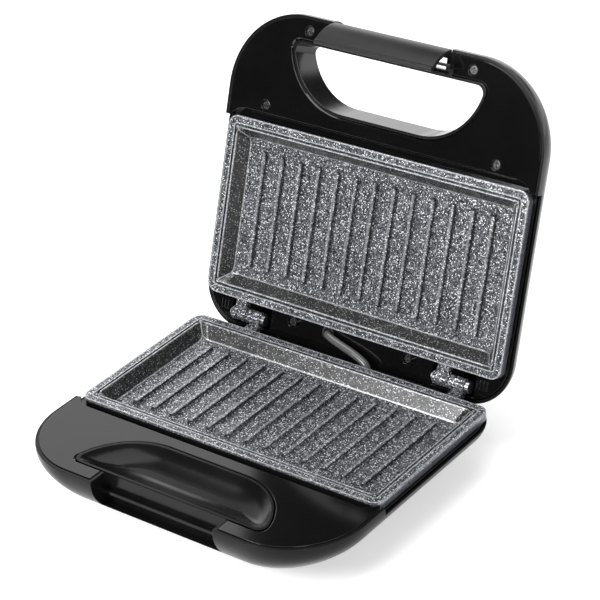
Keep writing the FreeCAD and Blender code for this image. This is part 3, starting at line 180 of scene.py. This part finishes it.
def moulded_plastic(name, shade, rough, grain, specular=0.5):
    """Dark moulded plastic: a faint flow mottle, fine grain and softly uneven gloss."""
    n = Nodes(name)
    mottle = n.noise(38, 3)
    dark = tuple(channel * 0.82 for channel in shade)
    light = tuple(channel * 1.2 for channel in shade)
    fine = n.noise(2600, 2)
    n.bump(fine, grain, 0.00005)
    gloss = n.spread(n.noise(16, 4), 0.3, 0.7, rough * 0.86, rough * 1.16)
    return n.set(color=n.mix(n.spread(mottle, 0.35, 0.65), dark, light), roughness=gloss,
                 specular=specular)


def rim_inset(n, reach_x, reach_y, half_x, half_y, corner):
    """How far a point lies inside the plate's rounded outline, seen from above."""
    past_x = n.math("SUBTRACT", reach_x, half_x - corner)
    past_y = n.math("SUBTRACT", reach_y, half_y - corner)
    out_x, out_y = n.math("MAXIMUM", past_x), n.math("MAXIMUM", past_y)
    round_part = n.math("SQRT", n.math("ADD", n.math("MULTIPLY", out_x, out_x),
                                       n.math("MULTIPLY", out_y, out_y)))
    straight_part = n.math("MINIMUM", n.math("MAXIMUM", past_x, past_y))
    return n.math("SUBTRACT", corner, n.math("ADD", round_part, straight_part))


def band(n, value, low, high, soft):
    """1 between low and high, fading to 0 over soft at both sides."""
    return n.math("MULTIPLY", n.spread(value, low - soft, low + soft),
                  n.spread(value, high + soft, high - soft))


def rib_bands(n, axes):
    """Masks for painted highlights on the ribs' flat crests and painted shade on their steep
    flanks; the ribs stand a constant pitch apart.
    """
    across = n.math("PINGPONG", n.math("ABSOLUTE", axes[0]), RIB_PITCH / 2)
    beyond = n.math("MAXIMUM", n.math("SUBTRACT", n.math("ABSOLUTE", axes[1]),
                                         RIB_STRAIGHT_END))
    reach = n.math("SQRT", n.math("ADD", n.math("MULTIPLY", across, across),
                                  n.math("MULTIPLY", beyond, beyond)))
    in_row = n.spread(n.math("ABSOLUTE", axes[0]), RIB_ROW_END, RIB_ROW_END - 0.2 * MM)
    rib_crest_highlight = n.math("MULTIPLY", n.spread(reach, 1.0 * MM, 0.5 * MM), in_row)
    rib_flank_shade = n.math("MULTIPLY", band(n, reach, 1.45 * MM, 2.05 * MM, 0.2 * MM), in_row)
    return rib_crest_highlight, rib_flank_shade


def granite_coating(name, own_frame):
    """Non-stick coating with stone-like flecks. Painted shade, placed by position on the plate,
    darkens the cavity's walls, the bead round the rim and the ribs' flanks, and painted
    highlights brighten the edges, the mitres and the crests; the outer skirt is plain and bluer,
    with painted shade on its front wall."""
    n = Nodes(name, own_frame)
    flat, tint = n.cells(1050)
    fine, fine_tint = n.cells(1700)
    pick = n.split(tint)
    fine_pick = n.split(fine_tint)
    wobble = n.math("MULTIPLY", n.noise(2300, 3), 0.15)
    large = n.math("MULTIPLY", n.spread(n.math("ADD", flat, wobble), 0.52, 0.38),
                   n.spread(pick[0], 0.66, 0.72))
    small = n.math("MULTIPLY", n.spread(n.math("ADD", fine, wobble), 0.56, 0.36),
                   n.spread(fine_pick[1], 0.36, 0.55))
    ground = n.mix(n.spread(n.noise(500, 4), 0.35, 0.68), (0.010, 0.011, 0.014),
                   (0.074, 0.080, 0.090))
    flecks = n.mix(small, ground, (0.44, 0.46, 0.49))
    flecks = n.mix(large, flecks, (0.96, 0.98, 1.0))
    rib_crest_highlight, rib_flank_shade = rib_bands(n, n.split(n.place))
    # painted shade: dark lines beside the ribs
    flecks = n.mix(n.math("MULTIPLY", rib_flank_shade, 0.82), flecks, (0.012, 0.012, 0.013))
    # painted highlight: lighter lines along the rib crests
    flecks = n.mix(n.math("MULTIPLY", rib_crest_highlight, 0.26), flecks, (0.52, 0.54, 0.57))
    axes = n.split(n.place)
    reach_x = n.math("ABSOLUTE", axes[0])
    reach_y = n.math("ABSOLUTE", axes[1])
    inset = rim_inset(n, reach_x, reach_y, PLATE_HALF_X, PLATE_HALF_Y, PLATE_CORNER)
    # painted shade: the cavity's walls are darkened by their place on the plate
    cavity_wall_shade = n.mix(n.math("MULTIPLY", large, 0.3), (0.020, 0.019, 0.018), (0.4, 0.4, 0.4))
    coated = n.mix(n.math("MULTIPLY", band(n, inset, 7.6 * MM, 12.9 * MM, 0.2 * MM), 0.8),
                   flecks, cavity_wall_shade)
    # painted shade: a dark band in the bead groove round the rim
    coated = n.mix(n.math("MULTIPLY", band(n, inset, 5.3 * MM, 6.5 * MM, 0.15 * MM), 0.85),
                   coated, (0.012, 0.012, 0.013))
    # painted highlight: bright lines along the cavity's mitred corners and round its foot
    mitre_highlight = n.math("ABSOLUTE", n.math("SUBTRACT", n.math("SUBTRACT", reach_x, reach_y),
                                      MITRE_OFFSET))
    mitre_highlight = n.math("MULTIPLY", n.spread(mitre_highlight, 0.7 * MM, 0.3 * MM),
                   band(n, inset, 7.4 * MM, 12.8 * MM, 0.2 * MM))
    foot = band(n, inset, 12.9 * MM, 13.4 * MM, 0.2 * MM)
    coated = n.mix(n.math("MULTIPLY", n.math("MAXIMUM", mitre_highlight, foot), 0.55), coated,
                   (0.60, 0.61, 0.63))
    # painted highlights: bright lines along the rim's outer edge, the bead's outer edge and the
    # rim's inner crest
    edge_highlights = n.math("MAXIMUM", band(n, inset, 6.7 * MM, 7.5 * MM, 0.2 * MM),
                          n.math("MAXIMUM", band(n, inset, 0.1 * MM, 0.9 * MM, 0.3 * MM),
                                 band(n, inset, 4.4 * MM, 5.1 * MM, 0.2 * MM)))
    coated = n.mix(n.math("MULTIPLY", edge_highlights, n.spread(n.noise(600, 3), 0.3, 0.6, 0.25,
                                                             0.7)),
                   coated, (0.62, 0.64, 0.67))
    skirt = n.math("MULTIPLY", n.spread(inset, 0.5 * MM, 0.1 * MM),
                   n.math("MULTIPLY", n.spread(axes[2], -1.6 * MM, -2.0 * MM),
                          n.spread(axes[1], 58.2 * MM, 57.8 * MM)))
    plain = n.mix(n.noise(500, 3), (0.085, 0.092, 0.110), (0.125, 0.134, 0.158))
    # painted shade: the skirt's front wall is darkened
    plain = n.mix(n.spread(axes[1], -56.6 * MM, -57.2 * MM), plain, (0.010, 0.010, 0.011))
    relief = n.math("ADD", n.math("MULTIPLY", large, 0.5), n.noise(1700, 3))
    n.bump(relief, 0.2, 0.0001, 0.0006)
    return n.set(color=n.mix(skirt, coated, plain), metallic=0.4,
                 roughness=n.spread(n.noise(60, 3), 0.3, 0.7, 0.22, 0.32))


def metal(name, shade, rough, stretch=(1, 1, 1)):
    """Drawn or pressed steel: fine directional streaks in colour and gloss."""
    n = Nodes(name)
    mapping = n.add("ShaderNodeMapping")
    mapping.inputs["Scale"].default_value = stretch
    n.link(n.place, mapping.inputs["Vector"])
    streak = n.noise(900, 4, place=mapping.outputs["Vector"])
    dark = tuple(channel * 0.75 for channel in shade)
    n.bump(streak, 0.15, 0.00005)
    return n.set(color=n.mix(streak, dark, shade), metallic=1.0,
                 roughness=n.spread(streak, 0.3, 0.7, rough * 0.8, rough * 1.2))


def lens_plastic(name, shade):
    n = Nodes(name)
    swirl = n.noise(240, 3)
    dark = tuple(channel * 0.6 for channel in shade)
    n.bump(swirl, 0.1, 0.0001)
    return n.set(color=n.mix(swirl, dark, shade), roughness=0.08, transmission=0.35, ior=1.49)


def finish_node(node, material):
    mesh = frame["nodes"][node].data
    mesh.materials.clear()
    mesh.materials.append(material)


# ---------------------------------------------------------------- finishes of the CAD nodes

shell_black = moulded_plastic("shell_black", (0.006, 0.006, 0.0065), 0.16, 0.01)
hull_black = moulded_plastic("hull_black", (0.005, 0.005, 0.0055), 0.2, 0.01, specular=0.14)
panel_black = moulded_plastic("panel_black", (0.0028, 0.0028, 0.003), 0.07, 0.004)
latch_black = moulded_plastic("latch_black", (0.007, 0.007, 0.0075), 0.32, 0.03,
                              specular=0.3)
granite_lower = granite_coating("granite_lower", base_frame)
granite_upper = granite_coating("granite_upper", lid_frame)
steel = metal("pressed_steel", (0.62, 0.62, 0.63), 0.3, (1, 8, 8))
screw_steel = metal("screw_steel", (0.16, 0.16, 0.165), 0.2)
pin_steel = metal("pin_steel", (0.42, 0.43, 0.45), 0.28, (1, 12, 12))
rod_steel = metal("rod_steel", (0.12, 0.12, 0.125), 0.3, (1, 12, 12))
link_sleeve = moulded_plastic("link_sleeve", (0.09, 0.09, 0.092), 0.12, 0.03)
rubber = moulded_plastic("foot_rubber", (0.018, 0.018, 0.018), 0.75, 0.3)
ceramic = moulded_plastic("terminal_plastic", (0.68, 0.66, 0.6), 0.5, 0.2)
bakelite = moulded_plastic("thermostat_body", (0.10, 0.055, 0.03), 0.45, 0.2)
sleeve = moulded_plastic("wire_sleeve", (0.016, 0.016, 0.017), 0.28, 0.1)
red_lens = lens_plastic("red_lens", (0.5, 0.02, 0.015))
green_lens = lens_plastic("green_lens", (0.03, 0.36, 0.07))

FINISHES = {
    shell_black: ["lid_cover"],
    hull_black: ["base_shell"],
    panel_black: ["base_deck", "lid_panel"],
    latch_black: ["latch"],
    granite_lower: ["lower_plate"],
    granite_upper: ["upper_plate"],
    steel: ["lower_element", "upper_element", "lower_reflector", "upper_reflector",
            "lower_straps", "upper_straps", "thermal_fuse"],
    screw_steel: ["lower_strap_screws", "upper_strap_screws", "lid_panel_screws",
                  "lid_rear_screws", "base_screws", "base_rear_screws"],
    pin_steel: ["hinge_pin_left", "hinge_pin_right", "hinge_clips", "latch_spring"],
    rod_steel: ["latch_rod"],
    rubber: ["foot_front_left", "foot_front_right", "foot_rear_left", "foot_rear_right",
             "cord_gland", "lead_grommet"],
    ceramic: ["terminal_block", "lamp_holder"],
    bakelite: ["lower_thermostat", "upper_thermostat"],
    sleeve: ["lower_wires", "upper_wires", "link_lead"],
    red_lens: ["power_lens"],
    green_lens: ["ready_lens"],
}
for material, node_names in FINISHES.items():
    for node_name in node_names:
        finish_node(node_name, material)


# ---------------------------------------------------------------- pieces that bend or coil

def tube(name, path, radius, material, sides=16):
    """A closed round tube along a path; its rings keep from twisting."""
    path = [Vector(point) for point in path]
    across = Vector((0, 0, 1)).cross(path[1] - path[0]).normalized()
    points, faces = [], []
    for number, here in enumerate(path):
        along = path[min(number + 1, len(path) - 1)] - path[max(number - 1, 0)]
        across = (across - along * (across.dot(along) / along.length_squared)).normalized()
        other = along.normalized().cross(across)
        for side in range(sides):
            turn = 2 * math.pi * side / sides
            points.append(here + (across * math.cos(turn) + other * math.sin(turn)) * radius)
        if number:
            low, high = (number - 1) * sides, number * sides
            faces += [(low + side, low + (side + 1) % sides, high + (side + 1) % sides,
                       high + side) for side in range(sides)]
    faces.append(tuple(range(sides))[::-1])
    faces.append(tuple(range(len(points) - sides, len(points))))
    mesh = bpy.data.meshes.new(name)
    mesh.from_pydata(points, [], faces)
    mesh.shade_smooth()
    mesh.materials.append(material)
    piece = bpy.data.objects.new(name, mesh)
    bpy.context.collection.objects.link(piece)
    return piece


def flowing(points, steps=10):
    """A Catmull-Rom curve through points."""
    points = [Vector(point) for point in points]
    padded = [points[0] * 2 - points[1], *points, points[-1] * 2 - points[-2]]
    path = []
    for p0, p1, p2, p3 in zip(padded, padded[1:], padded[2:], padded[3:]):
        for step in range(steps):
            t = step / steps
            path.append((p1 * 2 + (p2 - p0) * t + (p0 * 2 - p1 * 5 + p2 * 4 - p3) * t * t
                         + (p1 * 3 - p0 - p2 * 3 + p3) * t ** 3) / 2)
    return path + [points[-1]]


def link_lead():
    """The lead that crosses the hinge, drawn as a fixed tube from the base to the opened lid."""
    start = base_frame @ Vector((20 * MM, 60.3 * MM, -10.5 * MM))
    end = lid_frame @ Vector((17 * MM, 62 * MM, -10.5 * MM))
    middle = [base_frame @ (Vector(point) * MM) for point in
              ((19.8, 60.5, -5), (17, 61.3, -1), (9, 62.8, 2), (-2, 64.4, 4.4),
               (-11, 66, 6.2), (-16, 68.5, 7))]
    piece = tube("link_lead_sleeve", flowing([start, *middle, end]), 2.4 * MM, link_sleeve)
    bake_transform(piece)
    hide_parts("link_lead")


def latch_spring():
    """The wound spring on the latch's rod."""
    low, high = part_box("latch_rod")
    centre = (low + high) / 2
    turns, reach, radius = 8, 3.6 * MM, 1.85 * MM
    path = []
    for step in range(turns * 14 + 1):
        part = step / (turns * 14)
        turn = 2 * math.pi * turns * part
        path.append(centre + Vector((reach * (2 * part - 1), radius * math.cos(turn),
                                     radius * math.sin(turn))))
    piece = tube("latch_spring_coil", path, 0.38 * MM, pin_steel, 8)
    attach(piece, "lid")
    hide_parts("latch_spring")


link_lead()
latch_spring()


# ---------------------------------------------------------------- floor, light and camera

def white_floor():
    mesh = bpy.data.meshes.new("floor")
    reach = 4.0
    mesh.from_pydata([(-reach, -reach, 0), (reach, -reach, 0), (reach, reach, 0),
                      (-reach, reach, 0)], [], [(0, 1, 2, 3)])
    floor = bpy.data.objects.new("floor", mesh)
    bpy.context.collection.objects.link(floor)
    n = Nodes("floor_paper")
    tone = n.mix(n.noise(3, 2), (0.90, 0.90, 0.90), (0.93, 0.93, 0.93))
    n.shader.inputs["Emission Color"].default_value = (1, 1, 1, 1)
    n.shader.inputs["Emission Strength"].default_value = 0.45
    mesh.materials.append(n.set(color=tone, roughness=0.9, specular=0.1))


def area_light(name, place, target, width, height, power):
    data = bpy.data.lights.new(name, "AREA")
    data.shape = "RECTANGLE"
    data.size, data.size_y = width, height
    data.energy = power
    light = bpy.data.objects.new(name, data)
    light.location = place
    aim = Vector(target) - Vector(place)
    light.rotation_euler = aim.to_track_quat("-Z", "Y").to_euler()
    bpy.context.collection.objects.link(light)


def studio_world():
    """A dim studio with a white backdrop low down behind the object."""
    world = bpy.data.worlds.new("studio")
    world.use_nodes = True
    tree = world.node_tree
    background = tree.nodes["Background"]
    coordinates = tree.nodes.new("ShaderNodeTexCoord")
    axes = tree.nodes.new("ShaderNodeSeparateXYZ")
    tree.links.new(coordinates.outputs["Generated"], axes.inputs[0])

    def fade(axis, low, high, to_low, to_high):
        node = tree.nodes.new("ShaderNodeMapRange")
        node.interpolation_type = "SMOOTHSTEP"
        for key, number in (("From Min", low), ("From Max", high), ("To Min", to_low),
                            ("To Max", to_high)):
            node.inputs[key].default_value = number
        tree.links.new(axes.outputs[axis], node.inputs["Value"])
        return node.outputs["Result"]

    def combine(operation, first, second):
        node = tree.nodes.new("ShaderNodeMath")
        node.operation = operation
        tree.links.new(first, node.inputs[0])
        tree.links.new(second, node.inputs[1])
        return node.outputs[0]

    backdrop = combine("MULTIPLY", fade("Y", -0.15, 0.35, 0.0, 2.0),
                       fade("Z", 0.28, 0.42, 1.0, 0.0))
    strength = combine("ADD", backdrop, fade("Z", 0.6, 1.0, 0.05, 0.5))
    tree.links.new(strength, background.inputs["Strength"])
    background.inputs["Color"].default_value = (1, 1, 1, 1)
    bpy.context.scene.world = world


def photo_camera():
    azimuth, elevation, roll = (math.radians(angle) for angle in (39.38, 29.96, -4.76))
    back = Vector((math.sin(azimuth) * math.cos(elevation),
                   -math.cos(azimuth) * math.cos(elevation), math.sin(elevation)))
    right = Vector((math.cos(azimuth), math.sin(azimuth), 0))
    up = back.cross(right)
    rolled_right = right * math.cos(roll) + up * math.sin(roll)
    rolled_up = up * math.cos(roll) - right * math.sin(roll)
    target = base_frame @ Vector((0.0773, -0.0693, 0.1283))
    data = bpy.data.cameras.new("photo_camera")
    data.lens, data.sensor_width = 141.78, 36
    camera = bpy.data.objects.new("photo_camera", data)
    turn = Matrix((rolled_right, rolled_up, back)).transposed().to_4x4()
    camera.matrix_world = Matrix.Translation(target + back * 1.2596) @ turn
    bpy.context.collection.objects.link(camera)
    bpy.context.scene.camera = camera


white_floor()
studio_world()
area_light("front_key", (-0.6, -1.6, 1.0), (0, 0.03, 0.1), 0.7, 0.7, 30)
area_light("right_fill", (1.1, -1.2, 0.7), (0, 0.03, 0.1), 0.5, 0.5, 10)
area_light("top_softbox", (-0.2, 0.1, 1.6), (0, 0, 0.05), 1.4, 1.2, 20)
area_light("back_card", (-1.47, 0.8, 0.9), (-1.2, -0.1, 0.1), 1.25, 1.2, 7)
photo_camera()
bpy.context.scene.view_settings.view_transform = "Standard"
